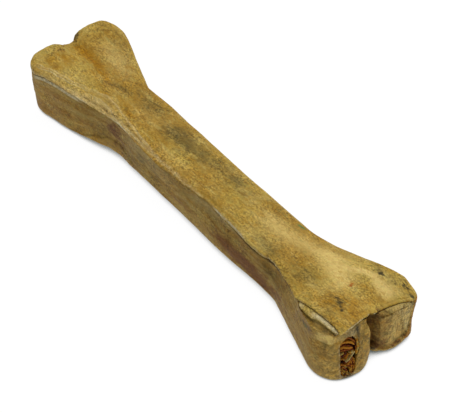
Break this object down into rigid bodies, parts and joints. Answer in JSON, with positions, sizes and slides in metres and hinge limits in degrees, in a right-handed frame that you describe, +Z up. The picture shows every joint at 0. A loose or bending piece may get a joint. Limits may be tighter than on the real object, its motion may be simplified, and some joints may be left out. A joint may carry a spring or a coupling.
{
  "type": "pressed rawhide dog chew bone",
  "caption": "Bone-shaped dog chew pressed from wrapped rawhide, with a narrow shaft, two knuckles at each end and folded rawhide showing in a slot.",
  "frame": {"origin": "middle of the bone's plan, on the surface it lies on, under its knuckles", "axes": "+X along the bone to the end with the slot, +Y across it away from the seam, +Z up"},
  "size_m": [0.2111, 0.0456, 0.0247],
  "materials": {
    "pressed_rawhide": "dried and pressed rawhide, mottled honey tan with cream edges and grey smudges, faint satin",
    "toasted_rawhide": "rolled and folded rawhide, toasted orange brown in dark wavy plies, dry and rough"
  },
  "bodies": {
    "root": {"hide_wrap": "pressed_rawhide", "rolled_filling": "toasted_rawhide"}
  },
  "joints": []
}
